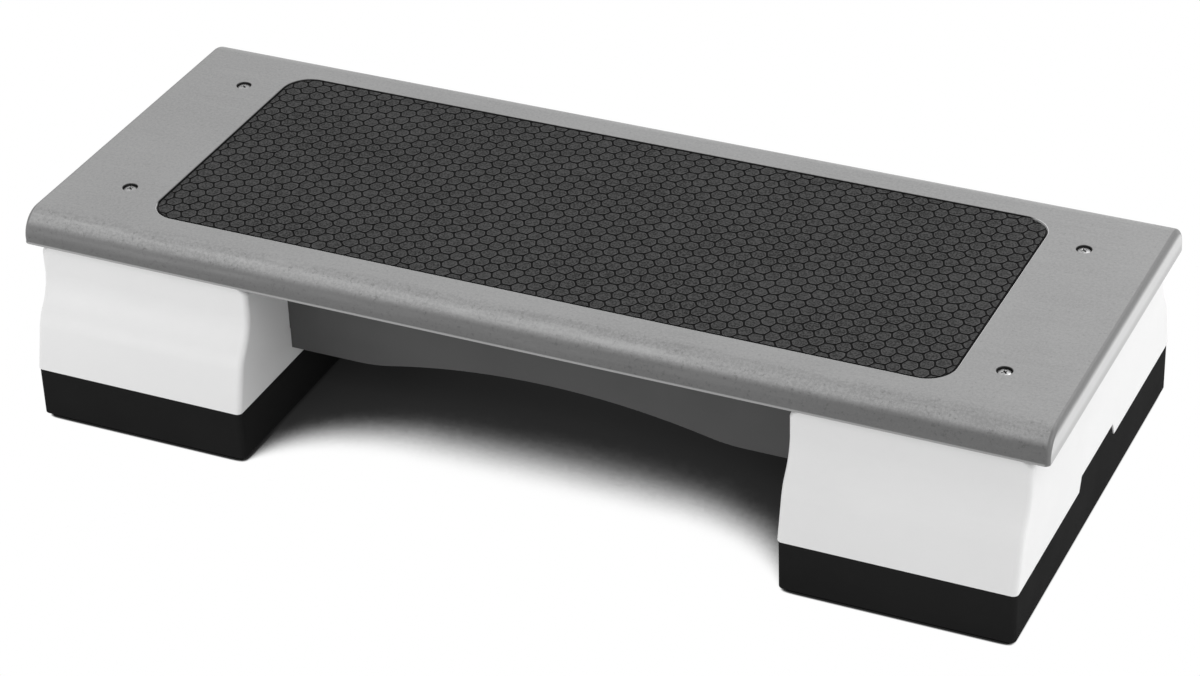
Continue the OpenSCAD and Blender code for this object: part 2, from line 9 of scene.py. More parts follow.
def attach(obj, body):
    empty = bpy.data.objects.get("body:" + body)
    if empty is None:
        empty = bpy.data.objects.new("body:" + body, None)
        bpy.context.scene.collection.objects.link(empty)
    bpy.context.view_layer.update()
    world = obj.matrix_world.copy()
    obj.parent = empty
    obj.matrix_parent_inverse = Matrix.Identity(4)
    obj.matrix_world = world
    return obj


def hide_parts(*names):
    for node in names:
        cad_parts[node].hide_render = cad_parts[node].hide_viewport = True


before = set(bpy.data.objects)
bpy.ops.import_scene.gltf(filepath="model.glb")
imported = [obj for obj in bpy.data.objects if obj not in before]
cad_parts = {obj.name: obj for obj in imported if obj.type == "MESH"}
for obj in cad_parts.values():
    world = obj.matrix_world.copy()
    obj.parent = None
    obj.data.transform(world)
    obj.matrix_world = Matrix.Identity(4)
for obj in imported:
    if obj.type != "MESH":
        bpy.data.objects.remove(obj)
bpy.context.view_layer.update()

MM = 0.001
QUARTER = math.pi / 2

# ---------------------------------------------------------------- camera

CAM_PLACE = Vector((1.19294, -2.48172, 1.79744))
CAM_AZ, CAM_EL, CAM_ROLL = math.radians(25.683), math.radians(32.076), math.radians(-2.144)
CAM_LENS, CAM_SENSOR = 106.15, 36


def make_camera():
    """The camera at the photograph's place and angle."""
    back = Vector((math.sin(CAM_AZ) * math.cos(CAM_EL), -math.cos(CAM_AZ) * math.cos(CAM_EL),
                   math.sin(CAM_EL)))
    right = (-back).cross(Vector((0, 0, 1))).normalized()
    up = right.cross(-back)
    right_r = math.cos(CAM_ROLL) * right + math.sin(CAM_ROLL) * up
    up_r = -math.sin(CAM_ROLL) * right + math.cos(CAM_ROLL) * up
    data = bpy.data.cameras.new("camera")
    data.lens, data.sensor_width = CAM_LENS, CAM_SENSOR
    cam = bpy.data.objects.new("camera", data)
    turn = Matrix((right_r, up_r, back)).transposed().to_4x4()
    cam.matrix_world = Matrix.Translation(CAM_PLACE) @ turn
    bpy.context.scene.collection.objects.link(cam)
    bpy.context.scene.camera = cam


make_camera()

# ---------------------------------------------------------------- sizes of the part, in millimetres

STEP_H, DECK_LOW = 200.0, 170.0
DECK_HALF_X, DECK_HALF_Y = 490.0, 188.0
NOSE_R, DECK_EDGE_R = 25.0, 5.0
BEAD_R, BEAD_PROUD, BEAD_START, BEAD_SWEEP = 1.2, 0.24, -90, 150
DECK_WALL = 4.0
MAT_HALF_X, MAT_HALF_Y, MAT_R = 384.0, 142.0, 26.0
MAT_GAP, MAT_FLOOR, MAT_THICK, TREAD_H, MAT_BORDER = 1.2, 197.0, 2.6, 0.9, 1.1
LEG_MID_X, LEG_HALF_X = 367.9, 107.5
LEG_TOP, SEAM = 168.6, 53.2
NECK_Y, NECK_LOW = 185.0, 143.6
HOLLOW_R, SWELL_R, FLARE, SKIRT = 55.0, 45.0, math.radians(38), math.radians(13.5)
LEG_TOP_R, LEG_CORNER_R, LEG_WALL, LEG_EDGE_R = 8.0, 5.0, 4.0, 0.8
LEG_OUT_X = LEG_MID_X + LEG_HALF_X
LEG_IN_X = LEG_MID_X - LEG_HALF_X
RISER_INSET, RISER_WALL, SOLE_THICK = 0.8, 3.5, 4.5
RISER_LOW_R, RISER_TOP_R = 1.2, 0.7
TAB_W, TAB_TOP_W, TAB_H, TAB_T, TAB_CLEAR, TAB_ROOT = 98.0, 86.0, 13.0, 6.0, 0.6, 3.0
SCREW_X, SCREW_Y = 423.0, 106.4
SCREW_PLACES = [(sx * SCREW_X, sy * SCREW_Y) for sx in (-1, 1) for sy in (-1, 1)]
POCKET_R, POCKET_D = 7.1, 3.4
HEAD_R, HEAD_H, HEAD_DOME_R, SLOT_LEN, SLOT_W, SLOT_D = 6.1, 2.6, 13.4, 7.6, 2.1, 1.7
SCREW_R, SCREW_LEN, SCREW_TIP_R, SCREW_TIP_LEN = 3.0, 42.0, 1.6, 1.4
INSERT_LEN, INSERT_R = 15.0, 4.75
BEAM_FACE_Y, BEAM_T, TONGUE_H, TONGUE_LOW, TONGUE_CLEAR = 114.7, 4.0, 60.0, 89.3, 0.32

# The visual model stands in from the CAD by this much, which keeps it inside the CAD's box
TRIM, DECK_TRIM = 0.01, 0.004
# How much wider than its piece a cutter is, and how far it runs past a face
CUT_CLEAR, OVER = 0.02, 1.0
# Share of a wall that the finer skin takes, and share that is cut off the CAD's inner part: the two overlap
SKIN_SHARE, CORE_SHARE = 0.55, 0.5
# Least radius of an upright corner that is drawn in
CORNER_MIN_R = 1.0
# Flares where a recess and a pocket meet the deck's top
RECESS_RIM_R, POCKET_RIM_R = 0.7, 0.55

# Steps along a quarter turn or a bend, and points around a circle
BEAD_STEPS, NOSE_STEPS, EDGE_STEPS, FLARE_STEPS = 8, 28, 12, 6
RECESS_STEPS, CORNER_STEPS, MAT_STEPS, ROUND_STEPS = 16, 10, 24, 5
SWAY_STEPS, HOLLOW_STEPS, TOP_STEPS, DOME_STEPS = 14, 18, 14, 9
POCKET_POINTS, SCREW_POINTS = 64, 48

# The fillet from the bead up to the lip: how far in from the side, and how far above the bead's middle
BEAD_FILLET = ((0.42, 1.32), (0.3, 1.75), (0.0, 2.3))
# Heights of the plain rings on the leg's skirt
SKIRT_RINGS = (70.0, 84.0)
# The block that keeps the CAD's bosses at the top of a leg: how far in from the sides, and how deep
PAD_IN, PAD_DEPTH = 4.0, 3.0
# Rounded edges of the notch and of the tab: place along X from the end face, and growth of the outline
NOTCH_FLARE = ((-0.7, 0.0), (-0.35, 0.12), (-0.12, 0.35), (0.0, 0.7), (OVER, 1.7))
TAB_ROUND = ((-0.9, 0.0), (-0.5, -0.1), (-0.18, -0.4), (-TRIM, -0.9))
# Heights past the riser's posts, for the bodies that cut its skin and its inner part
RISER_SKIN_TOP, RISER_CORE_TOP = 80.0, 90.0

HOLLOW_C = (NECK_Y + HOLLOW_R, NECK_LOW)
SWELL_C = (HOLLOW_C[0] - (HOLLOW_R + SWELL_R) * math.cos(FLARE),
           HOLLOW_C[1] - (HOLLOW_R + SWELL_R) * math.sin(FLARE))
SKIRT_TOP = (SWELL_C[0] + SWELL_R * math.cos(SKIRT), SWELL_C[1] + SWELL_R * math.sin(SKIRT))
RIM_Y = SKIRT_TOP[0] + math.tan(SKIRT) * (SKIRT_TOP[1] - SEAM)
RISER_HALF_Y = RIM_Y - RISER_INSET
RISER_HALF_X = LEG_HALF_X - RISER_INSET

# ---------------------------------------------------------------- mesh helpers

WELD_M = 1e-6
FLAT_DEG, SHARP_DEG, SHARP_MAT_DEG, SHARP_SCREW_DEG = 0.05, 32, 50, 35
NORMAL_WEIGHT = 80


def link_mesh(name, bm):
    """A new object that holds a bmesh as it is."""
    mesh = bpy.data.meshes.new(name)
    bm.to_mesh(mesh)
    bm.free()
    obj = bpy.data.objects.new(name, mesh)
    bpy.context.scene.collection.objects.link(obj)
    return obj


def add_object(name, bm):
    """A new object from a bmesh in millimetres."""
    obj = link_mesh(name, bm)
    obj.data.transform(Matrix.Scale(MM, 4))
    return obj


def remove(obj):
    """Takes an object and its mesh out of the file."""
    mesh = obj.data
    bpy.data.objects.remove(obj)
    bpy.data.meshes.remove(mesh)


def loft(name, rings):
    """A closed body through rings of points that all have the same count."""
    bm = bmesh.new()
    rows = [[bm.verts.new(p) for p in ring] for ring in rings]
    n = len(rows[0])
    for a, b in zip(rows, rows[1:]):
        for i in range(n):
            bm.faces.new((a[i], a[(i + 1) % n], b[(i + 1) % n], b[i]))
    bm.faces.new(rows[0][::-1])
    bm.faces.new(rows[-1])
    bmesh.ops.recalc_face_normals(bm, faces=bm.faces)
    return add_object(name, bm)


def block(low, high):
    """A plain box, used only to cut or to hold."""
    (x0, y0, z0), (x1, y1, z1) = low, high
    return loft("block", [[(x0, y0, z), (x1, y0, z), (x1, y1, z), (x0, y1, z)] for z in (z0, z1)])


def circle(r, n, z, cx=0.0, cy=0.0):
    """A level ring of n points."""
    turns = [2 * math.pi * i / n for i in range(n)]
    return [(cx + r * math.cos(a), cy + r * math.sin(a), z) for a in turns]


def round_rect(hx, hy, r, seg, z=None, cx=0.0):
    """Outline of a rectangle with round corners, anticlockwise, level with z where z is given."""
    pts = []
    for k, (sx, sy) in enumerate(((1, 1), (-1, 1), (-1, -1), (1, -1))):
        for i in range(seg + 1):
            a = QUARTER * (k + i / seg)
            p = (cx + sx * (hx - r) + r * math.cos(a), sy * (hy - r) + r * math.sin(a))
            pts.append(p if z is None else (*p, z))
    return pts


def cad_copy(node):
    """A welded copy of a CAD node's mesh as a new object."""
    bm = bmesh.new()
    bm.from_mesh(bpy.data.objects[node].data)
    bm.transform(bpy.data.objects[node].matrix_world)
    bmesh.ops.remove_doubles(bm, verts=bm.verts, dist=WELD_M)
    return link_mesh("core", bm)


def boolean(obj, other, op):
    """Joins obj with other, cuts it by other or keeps what both share; other is then removed."""
    mod = obj.modifiers.new("cut", "BOOLEAN")
    mod.operation, mod.object, mod.solver = op, other, "MANIFOLD"
    mesh = bpy.data.meshes.new_from_object(obj.evaluated_get(bpy.context.evaluated_depsgraph_get()))
    old = obj.data
    obj.modifiers.clear()
    obj.data = mesh
    mesh.name = obj.name
    bpy.data.meshes.remove(old)
    remove(other)


def joined(name, objs):
    """Separate bodies gathered into one object."""
    bm = bmesh.new()
    for o in objs:
        bm.from_mesh(o.data)
        remove(o)
    return link_mesh(name, bm)


def turned(obj, name):
    """A copy of obj turned half a turn about Z, with its own mesh."""
    mesh = obj.data.copy()
    mesh.name = name
    mesh.transform(Matrix.Rotation(math.pi, 4, "Z"))
    new = bpy.data.objects.new(name, mesh)
    bpy.context.scene.collection.objects.link(new)
    return new


def merge_flat(obj):
    """Joins faces that lie in one plane, so that a flat face is shaded flat up to its edge."""
    bm = bmesh.new()
    bm.from_mesh(obj.data)
    bmesh.ops.dissolve_limit(bm, angle_limit=math.radians(FLAT_DEG), verts=bm.verts, edges=bm.edges)
    bm.to_mesh(obj.data)
    bm.free()


def shade(obj, angle=SHARP_DEG):
    """Smooth faces with sharp edges past an angle, weighted by face area."""
    mesh = obj.data
    mesh.shade_smooth()
    mesh.set_sharp_from_angle(angle=math.radians(angle))
    mod = obj.modifiers.new("normals", "WEIGHTED_NORMAL")
    mod.keep_sharp = True
    mod.weight = NORMAL_WEIGHT


def ring_cutter(outline, low_z, rim_z, rim_r):
    """A cutter with an upright wall and a rounded flare where it meets the face at rim_z."""
    levels = [(low_z, 0.0), (rim_z - rim_r, 0.0)]
    for i in range(1, FLARE_STEPS + 1):
        a = QUARTER * i / FLARE_STEPS
        levels.append((rim_z - rim_r + rim_r * math.sin(a), rim_r * (1 - math.cos(a))))
    levels.append((rim_z + OVER, rim_r + OVER))
    return loft("cutter", [outline(CUT_CLEAR + off, z) for z, off in levels])


# ---------------------------------------------------------------- deck


def nose(off, top_z):
    """Points in Y and Z of the long edge's rounding, drawn in by off, from the side up to the top."""
    r = NOSE_R - off
    c_y, c_z = DECK_HALF_Y - NOSE_R, STEP_H - NOSE_R
    turns = [QUARTER * i / NOSE_STEPS for i in range(NOSE_STEPS + 1)]
    return [(c_y + r * math.cos(a), min(c_z + r * math.sin(a), top_z)) for a in turns]


def lip(off):
    """Points in Y and Z of the bead and of the fillet above it, drawn in by off."""
    b_y, b_z = DECK_HALF_Y + BEAD_PROUD - BEAD_R - off, DECK_LOW + BEAD_R
    turns = [math.radians(BEAD_START + BEAD_SWEEP * i / BEAD_STEPS) for i in range(BEAD_STEPS + 1)]
    bead = [(b_y + BEAD_R * math.cos(a), b_z + BEAD_R * math.sin(a)) for a in turns]
    return bead + [(DECK_HALF_Y - back - off, b_z + up) for back, up in BEAD_FILLET]


def across(side):
    """A section of the deck from foot to foot: the points of one side, then their mirror image."""
    return side + [(-y, z) for y, z in side[::-1]]


def deck_inside(share):
    """The deck's form drawn in by a share of its wall, and open downwards."""
    off = share * DECK_WALL
    section = across([(DECK_HALF_Y - off, DECK_LOW - OVER)] + nose(off, STEP_H - off))
    return loft("cutter", [[(s * (DECK_HALF_X - off), y, z) for y, z in section] for s in (-1, 1)])


def make_deck():
    """The deck: a rounded skin over the CAD's inner half with its ribs and bosses."""
    top = STEP_H - DECK_TRIM
    rings = []
    for s in (-1, 1):
        for i in range(EDGE_STEPS + 1)[::s]:
            a = QUARTER * i / EDGE_STEPS
            off = DECK_EDGE_R * (1 - math.cos(a)) + DECK_TRIM
            x = s * (DECK_HALF_X - DECK_EDGE_R + (DECK_EDGE_R - DECK_TRIM) * math.sin(a))
            rings.append([(x, y, z) for y, z in across(lip(off) + nose(off, top))])
    deck = loft("deck_moulding", rings)
    boolean(deck, deck_inside(SKIN_SHARE), "DIFFERENCE")
    core = cad_copy("deck")
    boolean(core, deck_inside(CORE_SHARE), "INTERSECT")
    boolean(deck, core, "UNION")
    hx, hy, r = MAT_HALF_X + MAT_GAP, MAT_HALF_Y + MAT_GAP, MAT_R + MAT_GAP
    cuts = [ring_cutter(lambda g, z: round_rect(hx + g, hy + g, r + g, RECESS_STEPS, z),
                        MAT_FLOOR + TRIM, top, RECESS_RIM_R)]
    for cx, cy in SCREW_PLACES:
        cuts.append(ring_cutter(lambda g, z: circle(POCKET_R + g, POCKET_POINTS, z, cx, cy),
                                STEP_H - POCKET_D + TRIM, top, POCKET_RIM_R))
    boolean(deck, joined("cuts", cuts), "DIFFERENCE")
    merge_flat(deck)
    shade(deck)
    return deck


# ---------------------------------------------------------------- legs


def leg_bends(wall):
    """Heights at which the leg's side passes into its hollow and into its skirt, drawn in by a wall."""
    return (HOLLOW_C[1] - (HOLLOW_R + wall) * math.sin(FLARE),
            SWELL_C[1] + (SWELL_R - wall) * math.sin(SKIRT))


def leg_half_y(z, wall):
    """Half of the leg's width at a height, drawn in by a wall."""
    z_hollow, z_skirt = leg_bends(wall)
    if z >= NECK_LOW:
        return NECK_Y - wall
    if z >= z_hollow:
        return HOLLOW_C[0] - math.sqrt((HOLLOW_R + wall) ** 2 - (z - HOLLOW_C[1]) ** 2)
    if z >= z_skirt:
        return SWELL_C[0] + math.sqrt((SWELL_R - wall) ** 2 - (z - SWELL_C[1]) ** 2)
    return SWELL_C[0] + (SWELL_R - wall) * math.cos(SKIRT) + math.tan(SKIRT) * (z_skirt - z)


def leg_rings(wall, low_z, edge=0.0):
    """Level rings of the leg's form, with the bottom edge softened by edge."""
    zs = []
    if edge:
        zs += [low_z + edge * (1 - math.cos(QUARTER * i / ROUND_STEPS)) for i in range(ROUND_STEPS)]
    zs += [low_z + edge, *SKIRT_RINGS]
    z_hollow, z_skirt = leg_bends(wall)
    zs += [z_skirt + (z_hollow - z_skirt) * i / SWAY_STEPS for i in range(SWAY_STEPS + 1)]
    zs += [z_hollow + (NECK_LOW - z_hollow) * i / HOLLOW_STEPS for i in range(1, HOLLOW_STEPS + 1)]
    top, r = LEG_TOP - wall, LEG_TOP_R - wall
    zs += [top - r + r * math.sin(QUARTER * i / TOP_STEPS) for i in range(TOP_STEPS + 1)]
    rings = []
    for z in zs:
        hx = LEG_HALF_X - wall
        hy = leg_half_y(z, wall)
        if z > top - r:
            hx -= r - math.sqrt(max(r * r - (z - top + r) ** 2, 0.0))
        if edge and z < low_z + edge:
            off = edge - math.sqrt(max(edge * edge - (low_z + edge - z) ** 2, 0.0))
            hx -= off
            hy -= off
        corner = max(LEG_CORNER_R - wall, CORNER_MIN_R)
        rings.append(round_rect(hx - TRIM, hy - TRIM, corner, CORNER_STEPS, z, LEG_MID_X))
    return rings


def tab_ring(grow, x):
    """Outline of the tab at a place along X."""
    w, t, h = TAB_W / 2 + grow, TAB_TOP_W / 2 + grow, TAB_H + grow
    pts = [(-w, -TAB_ROOT), (w, -TAB_ROOT), (w, 0.0), (t, h), (-t, h), (-w, 0.0)]
    return [(x, y, SEAM + z) for y, z in pts]


def make_leg():
    """The right leg: a rounded skin over the CAD's inner half with its ribs, sockets and bosses."""
    leg = loft("right_leg_moulding", leg_rings(0.0, SEAM, LEG_EDGE_R))
    boolean(leg, loft("cutter", leg_rings(SKIN_SHARE * LEG_WALL, SEAM - OVER)), "DIFFERENCE")
    core = cad_copy("right_leg")
    keep = loft("keep", leg_rings(CORE_SHARE * LEG_WALL, SEAM - OVER))
    pad = block((LEG_IN_X + PAD_IN, -NECK_Y + PAD_IN, LEG_TOP - PAD_DEPTH),
                (LEG_OUT_X - PAD_IN, NECK_Y - PAD_IN, DECK_LOW + OVER))
    boolean(keep, pad, "UNION")
    boolean(core, keep, "INTERSECT")
    boolean(leg, core, "UNION")
    notch = [(LEG_OUT_X - 2 * TAB_T, 0.0)] + [(LEG_OUT_X + dx, g) for dx, g in NOTCH_FLARE]
    cuts = [loft("cutter", [tab_ring(TAB_CLEAR + CUT_CLEAR + g, x) for x, g in notch])]
    for s in (-1, 1):
        y = s * (BEAM_FACE_Y - BEAM_T / 2)
        half = BEAM_T / 2 + TONGUE_CLEAR
        cuts.append(block((LEG_IN_X - OVER, y - half, TONGUE_LOW - TONGUE_CLEAR),
                          (LEG_IN_X + LEG_WALL + OVER, y + half, TONGUE_LOW + TONGUE_H + TONGUE_CLEAR)))
        cuts.append(loft("cutter", [circle(INSERT_R + TRIM, SCREW_POINTS, z, SCREW_X, s * SCREW_Y)
                                    for z in (DECK_LOW - INSERT_LEN + TRIM, DECK_LOW + 2 * OVER)]))
    boolean(leg, joined("cuts", cuts), "DIFFERENCE")
    merge_flat(leg)
    shade(leg)
    return leg


# ---------------------------------------------------------------- risers


def riser_rings(wall, levels):
    """Level rings of the riser's plan at heights, each with its own inset."""
    return [round_rect(RISER_HALF_X - wall - off - TRIM, RISER_HALF_Y - wall - off - TRIM,
                       max(LEG_CORNER_R - wall - off, CORNER_MIN_R), CORNER_STEPS, z, LEG_MID_X)
            for z, off in levels]


def rounded_levels(low, high, r_low, r_high):
    """Heights and insets of an upright wall whose lower and upper edges are rounded."""
    turns = [QUARTER * i / ROUND_STEPS for i in range(ROUND_STEPS + 1)]
    return ([(low + r_low * (1 - math.cos(a)), r_low * (1 - math.sin(a))) for a in turns]
            + [(high - r_high * (1 - math.cos(a)), r_high * (1 - math.sin(a))) for a in turns[::-1]])


def riser_inside(share, top):
    """The riser's plan drawn in by a share of its wall, from the floor up to top."""
    return loft("cutter", riser_rings(share * RISER_WALL, [(0.0, 0.0), (top, 0.0)]))


def make_riser():
    """The right riser: a rounded skin and tab over the CAD's inner part with its posts and cups."""
    riser = loft("right_riser_moulding",
                 riser_rings(0.0, rounded_levels(SOLE_THICK, SEAM, RISER_LOW_R, RISER_TOP_R)))
    boolean(riser, riser_inside(SKIN_SHARE, RISER_SKIN_TOP), "DIFFERENCE")
    core = cad_copy("right_riser")
    boolean(core, riser_inside(CORE_SHARE, RISER_CORE_TOP), "INTERSECT")
    boolean(riser, core, "UNION")
    out = LEG_OUT_X - RISER_INSET
    ends = [(out - TAB_T, 0.0)] + [(out + dx, g) for dx, g in TAB_ROUND]
    boolean(riser, loft("tab", [tab_ring(g, x) for x, g in ends]), "UNION")
    merge_flat(riser)
    shade(riser)
    return riser


# ---------------------------------------------------------------- mat

TILE_FLAT, TILE_GAP, COLUMN_PITCH = 14.2, 1.75, 12.4
MAT_SEED, CORNER_SHIFT, CORNER_SHIFT_MAX, TILE_SINK = 41, 0.48, 1.3, 0.05
CORNER_CUT, TILE_MEAN_R, TILE_MIN_AREA = 0.15, 6.4, 6.0
# Edge of the sheet: height above its foot or below its top, and inset
MAT_FOOT = ((TRIM, 0.35), (0.36, 0.0))
MAT_SHOULDER = ((0.5, 0.0), (0.15, 0.12), (0.0, 0.45))
# Edge of a tile: depth below its top, and inset. It starts this far down inside the sheet
TILE_EDGE = ((0.42, 0.0), (0.16, 0.16), (0.05, 0.6))
TILE_ROOT = 0.4
# A side shorter than SHORT_SIDE isn't moved in, one whose length squared is below POINT_SIDE cuts nothing, and FAR
# is a cut's reach
SHORT_SIDE, POINT_SIDE, FAR = 1e-4, 1e-12, 200.0


def sides(poly):
    """Each side of a polygon, as its two ends."""
    return zip(poly, poly[1:] + poly[:1])


def clip(poly, outline):
    """Part of a convex polygon inside a convex outline."""
    out = poly
    for (ax, ay), (bx, by) in sides(outline):
        nx, ny = -(by - ay), bx - ax
        if nx * nx + ny * ny < POINT_SIDE:
            continue
        res = []
        for p, q in sides(out):
            dp = (p[0] - ax) * nx + (p[1] - ay) * ny
            dq = (q[0] - ax) * nx + (q[1] - ay) * ny
            if dp >= 0:
                res.append(p)
            if (dp >= 0) != (dq >= 0):
                t = dp / (dp - dq)
                res.append((p[0] + t * (q[0] - p[0]), p[1] + t * (q[1] - p[1])))
        out = res
        if len(out) < 3:
            return []
    return out


def area_centre(poly):
    """Area and centre of a polygon."""
    a = cx = cy = 0.0
    for (x0, y0), (x1, y1) in sides(poly):
        k = x0 * y1 - x1 * y0
        a += k / 2
        cx += (x0 + x1) * k / 6
        cy += (y0 + y1) * k / 6
    return a, (cx / a if a else 0.0, cy / a if a else 0.0)


def inset(poly, d):
    """Convex polygon with each side moved in by d, or nothing where none is left."""
    res = poly
    for (ax, ay), (bx, by) in sides(poly):
        length = math.hypot(bx - ax, by - ay)
        if length < SHORT_SIDE:
            continue
        nx, ny = -(by - ay) / length, (bx - ax) / length
        line = [(ax + nx * d - (bx - ax) / length * FAR, ay + ny * d - (by - ay) / length * FAR),
                (ax + nx * d + (bx - ax) / length * FAR, ay + ny * d + (by - ay) / length * FAR)]
        quad = [line[0], line[1], (line[1][0] + nx * FAR, line[1][1] + ny * FAR),
                (line[0][0] + nx * FAR, line[0][1] + ny * FAR)]
        res = clip(res, quad)
        if not res:
            return []
    return res


def cut_corners(poly, part):
    """Each corner of a polygon replaced by two points on its sides."""
    out = []
    n = len(poly)
    for i in range(n):
        (ax, ay), (px, py), (bx, by) = poly[i - 1], poly[i], poly[(i + 1) % n]
        out.append((px + part * (ax - px), py + part * (ay - py)))
        out.append((px + part * (bx - px), py + part * (by - py)))
    return out


def tile_outline(i, j, shifts, rng):
    """Outline of one uneven six-sided tile; neighbours share their shifted corners."""
    cx = i * COLUMN_PITCH
    cy = (j + (0.5 if i % 2 else 0.0)) * TILE_FLAT
    third, hy = COLUMN_PITCH / 3, TILE_FLAT / 2
    poly = []
    for dx, dy in ((2, 0), (1, 1), (-1, 1), (-2, 0), (-1, -1), (1, -1)):
        key = (3 * i + dx, round(cy / hy) + dy)
        if key not in shifts:
            shifts[key] = [max(-CORNER_SHIFT_MAX, min(CORNER_SHIFT_MAX, rng.gauss(0.0, CORNER_SHIFT)))
                           for _ in range(2)]
        poly.append((cx + dx * third + shifts[key][0], cy + dy * hy + shifts[key][1]))
    return poly


def add_tile(bm, poly, centre, levels):
    """One tile through levels of height and inset, the last a point; returns its faces and its rim's."""
    n = len(poly)
    rings = []
    for z, d in levels[:-1]:
        k = 1 - d / TILE_MEAN_R
        rings.append([bm.verts.new((centre[0] + k * (x - centre[0]), centre[1] + k * (y - centre[1]), z))
                      for x, y in poly])
    faces = [bm.faces.new(rings[0][::-1])]
    for a, b in zip(rings, rings[1:]):
        faces += [bm.faces.new((a[k], a[(k + 1) % n], b[(k + 1) % n], b[k])) for k in range(n)]
    rim = faces[-n:]
    last = rings[-1]
    mid = bm.verts.new((*centre, levels[-1][0]))
    return faces + [bm.faces.new((last[k], last[(k + 1) % n], mid)) for k in range(n)], rim


def make_mat():
    """The mat: a sheet with a low rim and about 1200 separate six-sided tread tiles."""
    rng = random.Random(MAT_SEED)
    top = MAT_FLOOR + MAT_THICK
    base_top = top - TREAD_H
    profile = [(MAT_FLOOR + up, d) for up, d in MAT_FOOT]
    profile += [(base_top - down, d) for down, d in MAT_SHOULDER]
    mat = loft("tread_mat", [round_rect(MAT_HALF_X - d, MAT_HALF_Y - d, MAT_R - d, MAT_STEPS, z)
                             for z, d in profile])
    field = round_rect(MAT_HALF_X - MAT_BORDER, MAT_HALF_Y - MAT_BORDER, MAT_R - MAT_BORDER, MAT_STEPS)
    bm = bmesh.new()
    tone = bm.faces.layers.float.new("tone")
    edge = bm.faces.layers.float.new("rim")
    cols = int(MAT_HALF_X / COLUMN_PITCH) + 2
    rows = int(MAT_HALF_Y / TILE_FLAT) + 2
    shifts = {}
    for i in range(-cols, cols + 1):
        for j in range(-rows, rows + 1):
            poly = tile_outline(i, j, shifts, rng)
            tile_tone, lift = rng.random(), rng.uniform(-TILE_SINK, 0.0)
            poly = inset(poly, TILE_GAP / 2)
            poly = clip(poly, field) if poly else poly
            if len(poly) < 3 or area_centre(poly)[0] < TILE_MIN_AREA:
                continue
            poly = cut_corners(poly, CORNER_CUT)
            levels = [(base_top - TILE_ROOT, 0.0)] + [(top - down + lift, d) for down, d in TILE_EDGE]
            faces, rim = add_tile(bm, poly, area_centre(poly)[1], levels + [(top + lift, TILE_MEAN_R)])
            # the rim's faces are marked for the painted highlight on each tile's rim
            for f in rim:
                f[edge] = 1.0
            for f in faces:
                f[tone] = tile_tone
    boolean(mat, add_object("tiles", bm), "UNION")
    shade(mat, SHARP_MAT_DEG)
    return mat


# ---------------------------------------------------------------- screws

# Rounding at the head's edge: how far in the dome starts, and the steps below it
HEAD_ROUND, HEAD_STEPS = 0.35, ((0.4, 0.0), (0.2, 0.08))
# Arm of the cross slot: depth below the head's top, half its width and half its length
SLOT_SECTION = ((SLOT_D, 0.5, 1.6), (0.75, 0.62, 3.0), (0.1, SLOT_W / 2, SLOT_LEN / 2),
                (-OVER, SLOT_W / 2 + 0.4, SLOT_LEN / 2 + 0.4))
SLOT_TURNS = (0, 90)
SLOT_SKEW = 45


def dome_z(top, r):
    """Height of the head's dome at a distance from its middle."""
    return top - HEAD_DOME_R + math.sqrt(HEAD_DOME_R ** 2 - r * r)


def slot_arm(cx, cy, top, degrees):
    """One tapered arm of the cross slot, as a cutter."""
    spin = Matrix.Rotation(math.radians(degrees), 3, "Z") @ Matrix.Rotation(math.radians(SLOT_SKEW), 3, "Z")
    arm = []
    for down, half_w, half_l in SLOT_SECTION:
        corners = [spin @ Vector((x, y, 0)) for x, y in
                   ((half_l, -half_w), (half_l, half_w), (-half_l, half_w), (-half_l, -half_w))]
        arm.append([(cx + p.x, cy + p.y, top - down) for p in corners])
    return loft("cutter", arm)


def make_screw(cx, cy):
    """A cross-slot screw with a domed head and a chamfered shank."""
    seat = STEP_H - POCKET_D
    top = seat + HEAD_H
    rim = HEAD_R - CUT_CLEAR
    dome_r = rim - HEAD_ROUND
    rim_z = dome_z(top, dome_r)
    sections = [(SCREW_TIP_R, seat - SCREW_LEN + TRIM), (SCREW_R, seat - SCREW_LEN + SCREW_TIP_LEN),
                (SCREW_R, seat), (rim, seat + TRIM)]
    sections += [(rim - d, rim_z - down) for down, d in HEAD_STEPS]
    for i in range(DOME_STEPS):
        r = dome_r * (1 - i / DOME_STEPS)
        sections.append((r, dome_z(top - TRIM, r)))
    screw = loft("screw", [circle(r, SCREW_POINTS, z, cx, cy) for r, z in sections])
    slot, other = [slot_arm(cx, cy, top, degrees) for degrees in SLOT_TURNS]
    boolean(slot, other, "UNION")
    boolean(screw, slot, "DIFFERENCE")
    return screw


def make_deck_screws():
    """The four deck screws as one piece."""
    obj = joined("deck_screw_set", [make_screw(cx, cy) for cx, cy in SCREW_PLACES])
    shade(obj, SHARP_SCREW_DEG)
    return obj


deck = make_deck()
right_leg = make_leg()
left_leg = turned(right_leg, "left_leg_moulding")
shade(left_leg)
right_riser = make_riser()
left_riser = turned(right_riser, "left_riser_moulding")
shade(left_riser)
mat = make_mat()
screws = make_deck_screws()

PIECES = ((deck, "deck", "platform", "deck_grey"),
          (mat, "mat", "platform", "mat_rubber"),
          (screws, "deck_screws", "platform", "screw_steel"),
          (left_leg, "left_leg", "platform", "leg_white"),
          (right_leg, "right_leg", "platform", "leg_white"),
          (left_riser, "left_riser", "left_riser_block", "riser_black"),
          (right_riser, "right_riser", "right_riser_block", "riser_black"))
for piece, node, body, slot in PIECES:
    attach(piece, body)
    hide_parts(node)

# ---------------------------------------------------------------- materials


